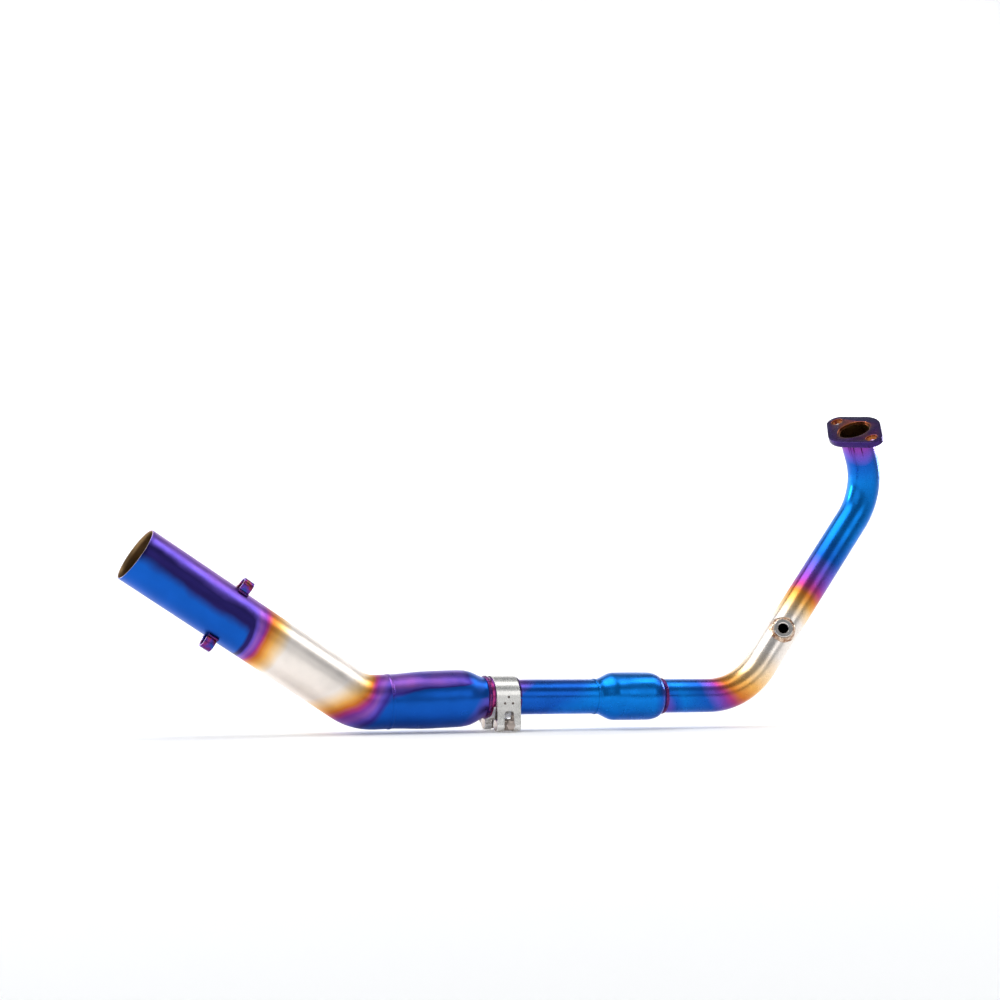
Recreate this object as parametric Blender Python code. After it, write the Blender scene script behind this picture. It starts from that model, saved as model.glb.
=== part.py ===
"""Motorcycle exhaust front section: head flange, header pipe with a small resonator, band clamp, rear pipe.

Metres, +Z up. The origin is the centre of the head flange's gasket face. +X is the front of the
motorcycle, and the slip joint that the band clamp closes lies along X.
"""

import math

import bmesh
import bpy
from mathutils import Matrix, Vector

# Pipes, outer diameters and walls
HEADER_DIAMETER = 0.034
TAIL_DIAMETER = 0.051
CHAMBER_DIAMETER = 0.0544
RESONATOR_DIAMETER = 0.0475
WALL = 0.0012
GAP = 0.0003            # between pieces that a weld joins
SIDES = 24              # round a pipe
FIT_SIDES = 48          # round the pieces that turn one inside another

# Route of the centreline, from the flange's gasket face to the open end
FLANGE_RISE = math.radians(52.6)        # of the gasket face's normal above level
FLANGE_HEADING = math.radians(215.3)    # of the same normal, from +X
FLANGE_TO_CORNER = 0.0770
TOP_BEND_RADIUS = 0.060
SLANT_RISE = math.radians(53.5)
SLANT_LENGTH = 0.2757
LOWER_BEND_RADIUS = 0.077
LOWER_CORNER_TO_COLLAR = 0.283
CHAMBER_DIP = math.radians(2.0)
COLLAR_TO_REAR_CORNER = 0.1242
REAR_BEND_RADIUS = 0.048
TAIL_RISE = math.radians(31.5)
TAIL_HEADING = math.radians(190.1)
TAIL_LENGTH = 0.251
BEND_STEP = math.radians(8)

# Head flange
FLANGE_THICKNESS = 0.006
FLANGE_CENTRE_RADIUS = 0.028
LUG_RADIUS = 0.0114
LUG_OFFSET = 0.033
STUD_HOLE_RADIUS = 0.006
LUG_TURN = math.radians(-11)    # of the lugs about the flange's normal
PIPE_IN_FLANGE = 0.0035

# Oxygen sensor bung on the slanted run
BUNG_FROM_LOWER_CORNER = 0.080
BUNG_TURN = math.radians(26)    # of its axis upwards from the outer side
BUNG_RADIUS = 0.0098
BUNG_HOLE_RADIUS = 0.0055
BUNG_FACE_HEIGHT = 0.0212       # above the pipe's axis
BUNG_WELD_RADIUS = 0.0135
BUNG_WELD_HEIGHT = 0.0025

# Distances along the slip joint's axis, ahead of the collar's weld
CONNECTOR_END = 0.0035
RESONATOR_REAR = 0.1158
RESONATOR_FULL = 0.1365
RESONATOR_DOME = 0.1725
RESONATOR_NECK = 0.1870
RESONATOR_FRONT = 0.1895

# Slip joint
GASKET_WALL = 0.0010
SLIP_CLEARANCE = 0.0001
COLLAR_WALL = 0.0012
COLLAR_LENGTH = 0.0325
COLLAR_SLIT = (0.0235, 0.0016)    # length, width

# Chamber profile: distances behind the collar's weld
CHAMBER_CONE = 0.0245
CHAMBER_STRAIGHT = 0.0565
ELBOW_WELD = 0.0965

# Spring hooks, bent strap welded across the tail tube
HOOK_FROM_MOUTH = 0.096
HOOK_LENGTH = 0.010
HOOK_HALF_WIDTH = 0.006
HOOK_HEIGHT = 0.0115
HOOK_STRAP = 0.0021
HOOK_WELD_RADIUS = 0.0013
UPPER_HOOK_TURN = math.radians(21)     # towards the outer side
LOWER_HOOK_TURN = math.radians(174)

# Band clamp
BAND_START = 0.0055
BAND_WIDTH = 0.024
BAND_STRAP = 0.0008
BRIDGE_STRAP = 0.0005
BRIDGE_OVERHANG = 0.0016
BRIDGE_HALF_ANGLE = math.radians(64)
BAND_CLEARANCE = 0.00015
BARREL_RADIUS = 0.0056
BARREL_SIDE = 0.018
BARREL_DROP = 0.0255
LOOP_SLOT_WIDTH = 0.0096
LOOP_SLOT_TOP = 0.0125
STRAP_END_HEIGHT = 0.0065
BOLT_RADIUS = 0.0025
BOLT_HOLE_RADIUS = 0.0027
BOLT_HEAD_ACROSS = 0.008
BOLT_HEAD_HEIGHT = 0.0035
WASHER_RADIUS = 0.0045
WASHER_THICKNESS = 0.001
BOLT_END = 0.058

# Worked out from the above
HEADER_RADIUS = HEADER_DIAMETER / 2
TAIL_RADIUS = TAIL_DIAMETER / 2
CHAMBER_RADIUS = CHAMBER_DIAMETER / 2
RESONATOR_RADIUS = RESONATOR_DIAMETER / 2
GASKET_RADIUS = HEADER_RADIUS + SLIP_CLEARANCE + GASKET_WALL
COLLAR_RADIUS = GASKET_RADIUS + SLIP_CLEARANCE + COLLAR_WALL
BRIDGE_INSIDE = COLLAR_RADIUS + BAND_CLEARANCE
BAND_INSIDE = BRIDGE_INSIDE + BRIDGE_STRAP + BAND_CLEARANCE
BAND_MIDDLE = BAND_START + BAND_WIDTH / 2


def direction(rise, heading):
    level = math.cos(rise)
    return Vector((level * math.cos(heading), level * math.sin(heading), math.sin(rise)))


FLANGE_NORMAL = direction(FLANGE_RISE, FLANGE_HEADING)
SLANT = direction(SLANT_RISE, 0)
CHAMBER_RUN = direction(-CHAMBER_DIP, math.pi)
TAIL_RUN = direction(TAIL_RISE, TAIL_HEADING)
SIDEWAYS = Vector((0, -1, 0))    # the motorcycle's outer side

TOP_CORNER = -FLANGE_TO_CORNER * FLANGE_NORMAL
LOWER_CORNER = TOP_CORNER - SLANT_LENGTH * SLANT
COLLAR_POINT = LOWER_CORNER - Vector((LOWER_CORNER_TO_COLLAR, 0, 0))
REAR_CORNER = COLLAR_POINT + COLLAR_TO_REAR_CORNER * CHAMBER_RUN
MOUTH = REAR_CORNER + TAIL_LENGTH * TAIL_RUN


def slip_point(ahead):
    """A point on the slip joint's axis, this far ahead of the collar's weld."""
    return COLLAR_POINT + Vector((ahead, 0, 0))


def frame_at(point, axis, across):
    """A matrix whose Z is axis and whose X is across made square to it."""
    z = axis.normalized()
    x = (across - across.dot(z) * z).normalized()
    turn = Matrix((x, z.cross(x), z)).transposed()
    return Matrix.Translation(point) @ turn.to_4x4()


def material(name, colour, roughness):
    made = bpy.data.materials.new(name)
    made.use_nodes = True
    shader = made.node_tree.nodes["Principled BSDF"]
    shader.inputs["Base Color"].default_value = (*colour, 1)
    shader.inputs["Roughness"].default_value = roughness
    shader.inputs["Metallic"].default_value = 1
    return made


def add_object(name, bm, finish):
    """An object made from bm, which is in world coordinates, with its faces turned outwards."""
    bmesh.ops.recalc_face_normals(bm, faces=bm.faces)
    mesh = bpy.data.meshes.new(name)
    bm.to_mesh(mesh)
    bm.free()
    mesh.shade_smooth()
    mesh.set_sharp_from_angle(angle=math.radians(35))
    made = bpy.data.objects.new(name, mesh)
    bpy.context.scene.collection.objects.link(made)
    if finish is not None:
        mesh.materials.append(finish)
    return made


def cut(piece, bm):
    """Cuts the shape in bm out of the piece."""
    cutter = add_object(piece.name + "_cutter", bm, None)
    cutter.hide_render = True
    cutter.display_type = "WIRE"
    boolean = piece.modifiers.new("Cut", "BOOLEAN")
    boolean.operation = "DIFFERENCE"
    boolean.solver = "EXACT"
    boolean.object = cutter


def rod(bm, start, end, radius, sides=SIDES, across=SIDEWAYS):
    """Adds a round rod from start to end."""
    length = (end - start).length
    place = frame_at((start + end) / 2, end - start, across)
    bmesh.ops.create_cone(
        bm, cap_ends=True, segments=sides, radius1=radius, radius2=radius, depth=length, matrix=place
    )


def box(bm, place, size):
    bmesh.ops.create_cube(bm, size=1, matrix=place @ Matrix.Diagonal((*size, 1)))


def sweep_rings(bm, rings, sides):
    """Joins rings, each (frame, radius), one to the next and the last to the first, by extruding them."""
    frame, radius = rings[0]
    made = bmesh.ops.create_circle(bm, cap_ends=False, segments=sides, radius=radius, matrix=frame)
    edges = list({edge for vert in made["verts"] for edge in vert.link_edges})
    for next_frame, next_radius in rings[1:] + rings[:1]:
        raised = bmesh.ops.extrude_edge_only(bm, edges=edges)["geom"]
        verts = [item for item in raised if isinstance(item, bmesh.types.BMVert)]
        found = set(verts)
        edges = [item for item in raised if isinstance(item, bmesh.types.BMEdge) and found >= set(item.verts)]
        size = Matrix.Scale(next_radius / radius, 4)
        bmesh.ops.transform(bm, matrix=next_frame @ size @ frame.inverted(), verts=verts)
        frame, radius = next_frame, next_radius
    bmesh.ops.remove_doubles(bm, verts=bm.verts, dist=1e-5)


def tube_solid(name, stations, finish, sides=SIDES, across=SIDEWAYS):
    """A wall of revolution along a route. A station is (point, tangent, outer radius, inner radius)."""
    outside, inside = [], []
    for point, tangent, outer, inner in stations:
        frame = frame_at(point, tangent, across)
        across = frame.to_3x3().col[0]
        outside.append((frame, outer))
        inside.append((frame, inner))
    bm = bmesh.new()
    sweep_rings(bm, outside + inside[::-1], sides)
    return add_object(name, bm, finish)


def along(start, run, profile, wall=WALL):
    """Stations on a straight axis. The profile lists (distance from start, outer radius)."""
    return [(start + distance * run, run, radius, radius - wall) for distance, radius in profile]


def bend(before, corner, after, radius):
    """(point, tangent) stations of an arc that rounds the corner between two points."""
    inward = (corner - before).normalized()
    outward = (after - corner).normalized()
    turn = inward.angle(outward)
    start = corner - radius * math.tan(turn / 2) * inward
    normal = inward.cross(outward).normalized()
    centre = start + radius * normal.cross(inward)
    count = math.ceil(turn / BEND_STEP)
    stations = []
    for step in range(count + 1):
        swing = Matrix.Rotation(turn * step / count, 3, normal)
        stations.append((centre + swing @ (start - centre), swing @ inward))
    return stations


def weld_bead(name, point, run, radius, width, height, finish):
    """A crowned bead round a pipe."""
    under = radius + GAP
    stations = []
    for share in (-0.5, -0.3, 0, 0.3, 0.5):
        crown = height * (1 - (2 * share) ** 2)
        stations.append((point + share * width * run, run, under + crown + 0.0002, under))
    return tube_solid(name, stations, finish)


def make_head_flange(finish):
    """A two-lug plate: the hull of a disc and two smaller ones, drilled for the pipe and the studs."""
    across = SIDEWAYS - SIDEWAYS.dot(FLANGE_NORMAL) * FLANGE_NORMAL
    across.normalize()
    across.rotate(Matrix.Rotation(LUG_TURN, 3, FLANGE_NORMAL))
    back = -FLANGE_THICKNESS * FLANGE_NORMAL
    bm = bmesh.new()
    for offset, radius in ((-LUG_OFFSET, LUG_RADIUS), (0, FLANGE_CENTRE_RADIUS), (LUG_OFFSET, LUG_RADIUS)):
        for level in (back, Vector()):
            place = frame_at(offset * across + level, FLANGE_NORMAL, across)
            bmesh.ops.create_circle(bm, cap_ends=False, segments=32, radius=radius, matrix=place)
    bmesh.ops.convex_hull(bm, input=bm.verts)
    bmesh.ops.delete(bm, geom=[edge for edge in bm.edges if not edge.link_faces], context="EDGES")
    bmesh.ops.delete(bm, geom=[vert for vert in bm.verts if not vert.link_faces], context="VERTS")
    bmesh.ops.dissolve_limit(bm, angle_limit=math.radians(1), verts=bm.verts, edges=bm.edges)
    flange = add_object("head_flange", bm, finish)
    cutter = bmesh.new()
    reach = FLANGE_THICKNESS * FLANGE_NORMAL
    rod(cutter, back - reach, reach, HEADER_RADIUS + GAP)
    for offset in (-LUG_OFFSET, LUG_OFFSET):
        rod(cutter, offset * across + back - reach, offset * across + reach, STUD_HOLE_RADIUS, 20)
    cut(flange, cutter)


def bung_frame():
    """The bung's frame: Z out of its hole, X along the slanted pipe."""
    upwards = SLANT.cross(SIDEWAYS)
    axis = math.cos(BUNG_TURN) * SIDEWAYS - math.sin(BUNG_TURN) * upwards
    return frame_at(LOWER_CORNER + BUNG_FROM_LOWER_CORNER * SLANT, axis, SLANT)


def make_header_pipe(finish):
    start = slip_point(RESONATOR_FRONT + GAP)
    end = (PIPE_IN_FLANGE - FLANGE_THICKNESS) * FLANGE_NORMAL
    route = [(start, Vector((1, 0, 0)))]
    route += bend(start, LOWER_CORNER, TOP_CORNER, LOWER_BEND_RADIUS)
    route += bend(LOWER_CORNER, TOP_CORNER, end, TOP_BEND_RADIUS)
    route.append((end, FLANGE_NORMAL))
    stations = [(point, tangent, HEADER_RADIUS, HEADER_RADIUS - WALL) for point, tangent in route]
    pipe = tube_solid("header_pipe", stations, finish)
    place = bung_frame()
    cutter = bmesh.new()
    middle = place.translation
    rod(cutter, middle, middle + 2 * HEADER_RADIUS * place.to_3x3().col[2], BUNG_HOLE_RADIUS, 20)
    cut(pipe, cutter)


def make_sensor_bung(finish, weld_finish):
    """A drilled boss saddled on the pipe, and the fillet weld that follows the saddle round it."""
    place = bung_frame()
    middle = place.translation
    axis = place.to_3x3().col[2]
    bm = bmesh.new()
    rod(bm, middle + HEADER_RADIUS / 2 * axis, middle + BUNG_FACE_HEIGHT * axis, BUNG_RADIUS, 28)
    bung = add_object("sensor_bung", bm, finish)
    cutter = bmesh.new()
    reach = 2 * BUNG_RADIUS * SLANT
    rod(cutter, middle - reach, middle + reach, HEADER_RADIUS + GAP, 48)
    cut(bung, cutter)
    drill = bmesh.new()
    rod(drill, middle, middle + 2 * BUNG_FACE_HEIGHT * axis, BUNG_HOLE_RADIUS, 20)
    cut(bung, drill)

    sides = 28
    seat = HEADER_RADIUS + 2 * GAP
    inside = BUNG_RADIUS + GAP
    middle_radius = (inside + BUNG_WELD_RADIUS) / 2
    profile = (
        (inside, 0),
        (inside, BUNG_WELD_HEIGHT),
        (middle_radius, 0.7 * BUNG_WELD_HEIGHT),
        (BUNG_WELD_RADIUS, GAP),
        (BUNG_WELD_RADIUS, 0),
    )
    bead = bmesh.new()
    rings = []
    for radius, lift in profile:
        made = bmesh.ops.create_circle(bead, cap_ends=False, segments=sides, radius=radius)
        for vert in made["verts"]:
            vert.co.z = math.sqrt(seat**2 - vert.co.y**2) + lift
        rings.append(list({edge for vert in made["verts"] for edge in vert.link_edges}))
    for first, second in zip(rings, rings[1:] + rings[:1]):
        bmesh.ops.bridge_loops(bead, edges=first + second)
    bead.transform(place)
    add_object("bung_weld", bead, weld_finish)


def make_resonator(finish, weld_finish):
    run = Vector((1, 0, 0))
    start = slip_point(0)
    blend = RESONATOR_FULL - RESONATOR_REAR
    drop = RESONATOR_RADIUS - HEADER_RADIUS
    profile = [(RESONATOR_REAR, HEADER_RADIUS)]
    for share in (0.2, 0.4, 0.6, 0.8, 1):
        swell = (1 - math.cos(math.pi * share)) / 2
        profile.append((RESONATOR_REAR + share * blend, HEADER_RADIUS + swell * drop))
    for share in (0, 0.25, 0.5, 0.75, 1):
        swing = share * math.pi / 2
        ahead = RESONATOR_DOME + math.sin(swing) * (RESONATOR_NECK - RESONATOR_DOME)
        profile.append((ahead, HEADER_RADIUS + math.cos(swing) * drop))
    profile.append((RESONATOR_FRONT, HEADER_RADIUS))
    tube_solid("resonator_shell", along(start, run, profile), finish)
    weld_bead("resonator_front_weld", slip_point(RESONATOR_FRONT + GAP / 2), run,
              HEADER_RADIUS, 0.0036, 0.0008, weld_finish)
    weld_bead("resonator_rear_weld", slip_point(RESONATOR_REAR - GAP / 2 - 0.0012), run,
              HEADER_RADIUS, 0.0026, 0.0003, weld_finish)


def make_slip_joint(finish, gasket_finish, weld_finish):
    run = Vector((1, 0, 0))
    connector = [(CONNECTOR_END, HEADER_RADIUS), (RESONATOR_REAR - GAP, HEADER_RADIUS)]
    tube_solid("connector_pipe", along(slip_point(0), run, connector), finish, FIT_SIDES)

    sleeve = [(CONNECTOR_END + 0.002, GASKET_RADIUS), (COLLAR_LENGTH - 0.001, GASKET_RADIUS)]
    tube_solid("joint_gasket", along(slip_point(0), run, sleeve, GASKET_WALL), gasket_finish, FIT_SIDES)

    collar = [(GAP / 2, COLLAR_RADIUS), (COLLAR_LENGTH, COLLAR_RADIUS)]
    piece = tube_solid("slip_collar", along(slip_point(0), run, collar, COLLAR_WALL), finish, FIT_SIDES)
    length, width = COLLAR_SLIT
    slits = bmesh.new()
    middle = slip_point(COLLAR_LENGTH)
    box(slits, Matrix.Translation(middle), (2 * length, 4 * COLLAR_RADIUS, width))
    cut(piece, slits)
    upright = bmesh.new()
    box(upright, Matrix.Translation(middle), (2 * length, width, 4 * COLLAR_RADIUS))
    cut(piece, upright)
    weld_bead("collar_weld", slip_point(0.0004), run, COLLAR_RADIUS + 0.0002, 0.0036, 0.0009, weld_finish)


def make_chamber(finish, weld_finish):
    flare = ELBOW_WELD - CHAMBER_STRAIGHT
    profile = [
        (0.0006, COLLAR_RADIUS),
        (0.0030, COLLAR_RADIUS + 0.0004),
        (0.5 * CHAMBER_CONE, 0.5 * (COLLAR_RADIUS + CHAMBER_RADIUS)),
        (0.85 * CHAMBER_CONE, CHAMBER_RADIUS - 0.0010),
        (1.1 * CHAMBER_CONE, CHAMBER_RADIUS),
        (CHAMBER_STRAIGHT, CHAMBER_RADIUS),
        (CHAMBER_STRAIGHT + 0.4 * flare, CHAMBER_RADIUS - 0.0007),
        (CHAMBER_STRAIGHT + 0.8 * flare, TAIL_RADIUS + 0.0002),
        (ELBOW_WELD - GAP / 2, TAIL_RADIUS),
    ]
    tube_solid("chamber_shell", along(COLLAR_POINT, CHAMBER_RUN, profile), finish)
    weld_bead("elbow_weld", COLLAR_POINT + ELBOW_WELD * CHAMBER_RUN, CHAMBER_RUN,
              TAIL_RADIUS, 0.0032, 0.0005, weld_finish)


def make_tail_tube(finish):
    start = COLLAR_POINT + (ELBOW_WELD + GAP / 2) * CHAMBER_RUN
    route = [(start, CHAMBER_RUN)]
    route += bend(start, REAR_CORNER, MOUTH, REAR_BEND_RADIUS)
    route.append((MOUTH, TAIL_RUN))
    stations = [(point, tangent, TAIL_RADIUS, TAIL_RADIUS - WALL) for point, tangent in route]
    tube_solid("tail_tube", stations, finish)


def make_spring_hook(name, turn, finish, weld_finish):
    """A strap bent over into a loop, its two feet fillet-welded to the tail tube."""
    foot = MOUTH - HOOK_FROM_MOUTH * TAIL_RUN
    upright = Vector((0, 0, 1)) - TAIL_RUN.z * TAIL_RUN
    outward = upright.normalized()
    outward.rotate(Matrix.Rotation(-turn, 3, TAIL_RUN))
    place = frame_at(foot, TAIL_RUN, outward)    # X outward, Y round the tube, Z to the mouth
    arch_centre = TAIL_RADIUS + HOOK_HEIGHT - HOOK_HALF_WIDTH
    middle = HOOK_HALF_WIDTH - HOOK_STRAP / 2
    route = [(TAIL_RADIUS - 0.004, -middle)]
    for step in range(9):
        swing = math.pi * step / 8
        route.append((arch_centre + middle * math.sin(swing), -middle * math.cos(swing)))
    route.append((TAIL_RADIUS - 0.004, middle))
    bm = bmesh.new()
    verts = [bm.verts.new((x, y, -HOOK_LENGTH / 2)) for x, y in route]
    edges = [bm.edges.new(pair) for pair in zip(verts, verts[1:])]
    raised = bmesh.ops.extrude_edge_only(bm, edges=edges)
    tops = [item for item in raised["geom"] if isinstance(item, bmesh.types.BMVert)]
    bmesh.ops.translate(bm, verts=tops, vec=(0, 0, HOOK_LENGTH))
    bm.transform(place)
    hook = add_object(name, bm, finish)
    wall = hook.modifiers.new("Strap", "SOLIDIFY")
    wall.thickness = HOOK_STRAP
    wall.offset = 0
    wall.use_even_offset = True
    cutter = bmesh.new()
    reach = HOOK_LENGTH * TAIL_RUN
    rod(cutter, foot - reach, foot + reach, TAIL_RADIUS + GAP, 48)
    cut(hook, cutter)
    for side, word in ((-1, "inner"), (1, "outer")):
        round_tube = side * (HOOK_HALF_WIDTH + GAP + HOOK_WELD_RADIUS)
        lift = math.sqrt((TAIL_RADIUS + GAP + HOOK_WELD_RADIUS) ** 2 - round_tube**2)
        half = HOOK_LENGTH / 2
        bead = bmesh.new()
        rod(bead, place @ Vector((lift, round_tube, -half)), place @ Vector((lift, round_tube, half)),
            HOOK_WELD_RADIUS, 10)
        add_object(f"{name}_{word}_weld", bead, weld_finish)


def clamp_frame():
    """The clamp's frame: X along the slip joint, Y inwards, Z up, at the band's middle."""
    return Matrix.Translation(slip_point(BAND_MIDDLE))


def on_circle(centre, radius, angle):
    return (centre[0] + radius * math.cos(angle), centre[1] + radius * math.sin(angle))


def strap_route():
    """(y, z) points of the band's strap: round the collar, with its end folded back round a barrel."""
    ring = BAND_INSIDE + BAND_STRAP / 2
    folded = ring + BAND_STRAP + BAND_CLEARANCE
    loop = BARREL_RADIUS + BAND_CLEARANCE + BAND_STRAP / 2
    barrel = (BARREL_SIDE, -BARREL_DROP)
    distance = math.hypot(*barrel)
    aim = math.atan2(barrel[1], barrel[0])
    leave = aim + math.acos((ring + loop) / distance)      # where the strap leaves the collar
    rejoin = aim + math.acos((folded - loop) / distance)   # where the folded end lies on it again
    start = math.asin(STRAP_END_HEIGHT / folded)
    points = []

    def arc(centre, radius, first, last, count):
        for step in range(count + 1):
            points.append(on_circle(centre, radius, first + (last - first) * step / count))

    arc((0, 0), folded, start, rejoin, 2)
    arc(barrel, loop, rejoin, leave - math.pi, 10)
    arc((0, 0), ring, leave, math.pi / 2, 8)
    other_side = [(-y, z) for y, z in reversed(points[:-1])]
    return points + other_side


def strip_solid(name, route, width, thickness, finish):
    """A strap that follows (y, z) points, as wide as width along X."""
    bm = bmesh.new()
    verts = [bm.verts.new((-width / 2, y, z)) for y, z in route]
    edges = [bm.edges.new(pair) for pair in zip(verts, verts[1:])]
    raised = bmesh.ops.extrude_edge_only(bm, edges=edges)
    tops = [item for item in raised["geom"] if isinstance(item, bmesh.types.BMVert)]
    bmesh.ops.translate(bm, verts=tops, vec=(width, 0, 0))
    bm.transform(clamp_frame())
    strip = add_object(name, bm, finish)
    wall = strip.modifiers.new("Strap", "SOLIDIFY")
    wall.thickness = thickness
    wall.offset = 0
    wall.use_even_offset = True
    return strip


def make_clamp(finish, barrel_finish, bolt_finish):
    band = strip_solid("clamp_band", strap_route(), BAND_WIDTH, BAND_STRAP, finish)
    slots = bmesh.new()
    slot_height = 0.04
    place = clamp_frame() @ Matrix.Translation((0, 0, -LOOP_SLOT_TOP - slot_height / 2))
    box(slots, place, (LOOP_SLOT_WIDTH, 0.09, slot_height))
    cut(band, slots)

    bridge = BRIDGE_INSIDE + BRIDGE_STRAP / 2
    route = []
    for step in range(15):
        angle = -math.pi / 2 + BRIDGE_HALF_ANGLE * (step / 7 - 1)
        route.append(on_circle((0, 0), bridge, angle))
    strip_solid("clamp_bridge", route, BAND_WIDTH + 2 * BRIDGE_OVERHANG, BRIDGE_STRAP, finish)

    frame = clamp_frame()
    half = BAND_WIDTH / 2
    for name, side in (("front_barrel", -1), ("rear_barrel", 1)):
        bm = bmesh.new()
        y = side * BARREL_SIDE
        rod(bm, frame @ Vector((-half, y, -BARREL_DROP)), frame @ Vector((half, y, -BARREL_DROP)),
            BARREL_RADIUS, 20)
        barrel = add_object(name, bm, barrel_finish)
        drill = bmesh.new()
        rod(drill, frame @ Vector((0, y - 0.01, -BARREL_DROP)), frame @ Vector((0, y + 0.01, -BARREL_DROP)),
            BOLT_HOLE_RADIUS, 16, Vector((1, 0, 0)))
        cut(barrel, drill)

    washer_seat = -BARREL_SIDE - BARREL_RADIUS - GAP
    washer_front = washer_seat - WASHER_THICKNESS
    inward = Vector((0, 1, 0))
    washer = [(frame @ Vector((0, y, -BARREL_DROP)), inward, WASHER_RADIUS, BOLT_HOLE_RADIUS)
              for y in (washer_front, washer_seat)]
    tube_solid("bolt_washer", washer, bolt_finish, 16, Vector((1, 0, 0)))

    head_back = washer_front - GAP
    head_front = head_back - BOLT_HEAD_HEIGHT
    bm = bmesh.new()
    rod(bm, frame @ Vector((0, head_front, -BARREL_DROP)), frame @ Vector((0, head_back, -BARREL_DROP)),
        BOLT_HEAD_ACROSS / math.sqrt(3), 6, Vector((0, 0, 1)))
    bolt = add_object("clamp_bolt", bm, bolt_finish)
    shank = bmesh.new()
    rod(shank, frame @ Vector((0, head_front + 0.001, -BARREL_DROP)),
        frame @ Vector((0, BOLT_END, -BARREL_DROP)), BOLT_RADIUS, 16, Vector((1, 0, 0)))
    join = add_object("clamp_bolt_shank", shank, None)
    join.hide_render = True
    join.display_type = "WIRE"
    union = bolt.modifiers.new("Shank", "BOOLEAN")
    union.operation = "UNION"
    union.solver = "EXACT"
    union.object = join


def main():
    for old in list(bpy.data.objects):
        bpy.data.objects.remove(old)
    blue = material("blue tinted steel", (0.03, 0.16, 0.62), 0.18)
    violet = material("violet tinted steel", (0.20, 0.07, 0.42), 0.22)
    steel = material("brushed steel", (0.62, 0.58, 0.54), 0.28)
    bead = material("weld bead", (0.50, 0.40, 0.30), 0.35)
    bright = material("bright clamp steel", (0.85, 0.83, 0.80), 0.20)
    graphite = material("graphite", (0.05, 0.05, 0.05), 0.7)

    make_head_flange(violet)
    weld_bead("flange_weld", (-FLANGE_THICKNESS - 0.0021) * FLANGE_NORMAL, -FLANGE_NORMAL,
              HEADER_RADIUS + GAP, 0.0036, 0.0012, bead)
    make_header_pipe(blue)
    make_sensor_bung(steel, bead)
    make_resonator(blue, violet)
    make_slip_joint(violet, graphite, violet)
    make_chamber(blue, violet)
    make_tail_tube(steel)
    make_spring_hook("upper_spring_hook", UPPER_HOOK_TURN, violet, violet)
    make_spring_hook("lower_spring_hook", LOWER_HOOK_TURN, violet, violet)
    make_clamp(bright, bright, bright)


main()
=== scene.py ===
import math

import bmesh
import bpy
from mathutils import Matrix, Vector


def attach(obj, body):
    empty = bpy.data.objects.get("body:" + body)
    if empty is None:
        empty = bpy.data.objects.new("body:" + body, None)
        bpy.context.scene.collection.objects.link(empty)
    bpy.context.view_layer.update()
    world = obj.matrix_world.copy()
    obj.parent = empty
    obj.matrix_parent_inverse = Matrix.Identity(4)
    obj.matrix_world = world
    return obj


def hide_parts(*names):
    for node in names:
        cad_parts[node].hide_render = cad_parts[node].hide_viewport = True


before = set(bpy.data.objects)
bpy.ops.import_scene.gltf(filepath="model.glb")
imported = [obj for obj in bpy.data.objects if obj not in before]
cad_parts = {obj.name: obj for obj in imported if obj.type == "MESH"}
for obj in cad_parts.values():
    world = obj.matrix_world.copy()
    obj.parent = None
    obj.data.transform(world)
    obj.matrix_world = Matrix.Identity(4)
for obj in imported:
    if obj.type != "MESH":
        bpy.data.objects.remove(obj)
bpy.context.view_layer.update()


# ---------------------------------------------------------------------------
# Studio. A seamless white paper sweep under the exhaust, lit a little from behind, in a dim room. Soft
# boxes stand in front, at the left and high at the right, two hang overhead, and two light the backdrop.
slip_axis = Vector((-0.408824, 0.027025, -0.282793))    # on the slip joint's axis, at the collar's weld
resting_drop = 0.0325                                   # from that axis down to what the exhaust lies on
floor_level = slip_axis.z - resting_drop


def studio_paper():
    """Matt paper with a faint unevenness, glowing a little as backlit paper does."""
    paper = bpy.data.materials.new("studio_paper")
    paper.use_nodes = True
    shader = paper.node_tree.nodes["Principled BSDF"]
    shader.inputs["Roughness"].default_value = 0.9
    shader.inputs["Specular IOR Level"].default_value = 0.2
    shader.inputs["Emission Color"].default_value = (1, 1, 1, 1)
    shader.inputs["Emission Strength"].default_value = 0.14
    grain = paper.node_tree.nodes.new("ShaderNodeTexNoise")
    grain.inputs["Scale"].default_value = 3
    grain.inputs["Detail"].default_value = 4
    where = paper.node_tree.nodes.new("ShaderNodeTexCoord")
    paper.node_tree.links.new(where.outputs["Object"], grain.inputs["Vector"])
    tone = paper.node_tree.nodes.new("ShaderNodeValToRGB")
    tone.color_ramp.elements[0].color = (0.78, 0.78, 0.78, 1)
    tone.color_ramp.elements[1].color = (0.82, 0.82, 0.82, 1)
    paper.node_tree.links.new(grain.outputs["Fac"], tone.inputs["Fac"])
    paper.node_tree.links.new(tone.outputs["Color"], shader.inputs["Base Color"])
    return paper


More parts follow.
